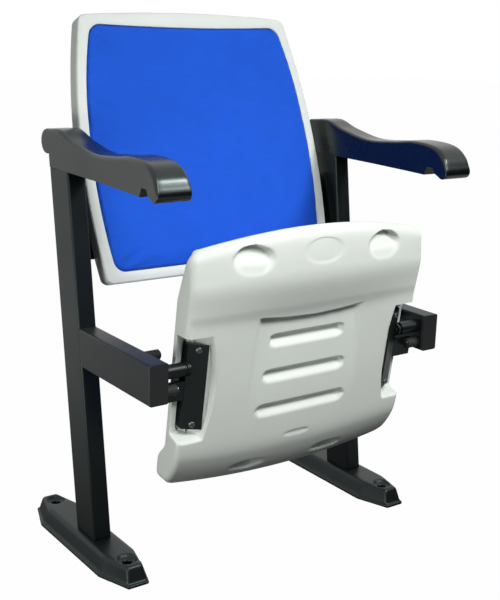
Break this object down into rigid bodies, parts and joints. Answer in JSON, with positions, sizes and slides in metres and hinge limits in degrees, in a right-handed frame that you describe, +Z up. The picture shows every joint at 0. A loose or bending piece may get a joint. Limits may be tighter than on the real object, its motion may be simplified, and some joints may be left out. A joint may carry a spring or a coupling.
{
  "type": "stadium seat",
  "caption": "Tip-up stadium seat with padded back and seat in moulded shells, between leaning steel side frames with wavy armrests and floor-bolted feet.",
  "frame": {"origin": "on the floor, at the centre of the four floor-bolt holes", "axes": "+Z up, the seat faces -Y, +X to the right as seen from the front"},
  "size_m": [0.596, 0.4187, 0.8342],
  "materials": {
    "frame_paint": "satin black powder coat on steel",
    "black_plastic": "satin black moulded polyurethane",
    "zinc_steel": "zinc-plated steel",
    "spring_steel": "oiled spring steel",
    "nylon": "natural nylon",
    "rubber": "black rubber",
    "shell_plastic": "fine-textured pale grey blow-moulded polyethylene",
    "plywood": "plain plywood",
    "pad_fabric": "royal blue woven upholstery"
  },
  "bodies": {
    "frame": {"left_foot": "frame_paint", "right_foot": "frame_paint", "left_post": "frame_paint", "right_post": "frame_paint", "left_arm": "frame_paint", "right_arm": "frame_paint", "left_armrest_bar": "frame_paint", "right_armrest_bar": "frame_paint", "left_back_bracket": "frame_paint", "right_back_bracket": "frame_paint", "left_arm_end_cap": "black_plastic", "right_arm_end_cap": "black_plastic", "left_armrest": "black_plastic", "right_armrest": "black_plastic", "left_pivot_stud": "zinc_steel", "right_pivot_stud": "zinc_steel", "left_spring_barrel": "zinc_steel", "right_spring_barrel": "zinc_steel", "left_upright_stop": "zinc_steel", "right_upright_stop": "zinc_steel", "left_use_stop": "zinc_steel", "right_use_stop": "zinc_steel", "armrest_screws": "zinc_steel", "back_bolts": "zinc_steel", "pivot_washers": "zinc_steel", "pivot_nuts": "zinc_steel", "left_return_spring": "spring_steel", "right_return_spring": "spring_steel", "left_upright_buffer": "rubber", "right_upright_buffer": "rubber", "left_use_buffer": "rubber", "right_use_buffer": "rubber", "back_shell": "shell_plastic", "back_pad_board": "plywood", "back_pad": "pad_fabric"},
    "seat": {"left_seat_bracket": "frame_paint", "right_seat_bracket": "frame_paint", "left_stop_bar": "frame_paint", "right_stop_bar": "frame_paint", "seat_bracket_screws": "zinc_steel", "left_pivot_bush": "nylon", "right_pivot_bush": "nylon", "seat_shell": "shell_plastic", "seat_pad_board": "plywood", "seat_pad": "pad_fabric"}
  },
  "joints": [
    {"name": "seat_tip", "type": "hinge", "parent": "frame", "child": "seat", "pos_m": [0, -0.193, 0.344], "axis": [1, 0, 0], "range_deg": [0, 80], "stiffness_Nm_per_rad": 2.5, "springref_deg": -20.05}
  ]
}
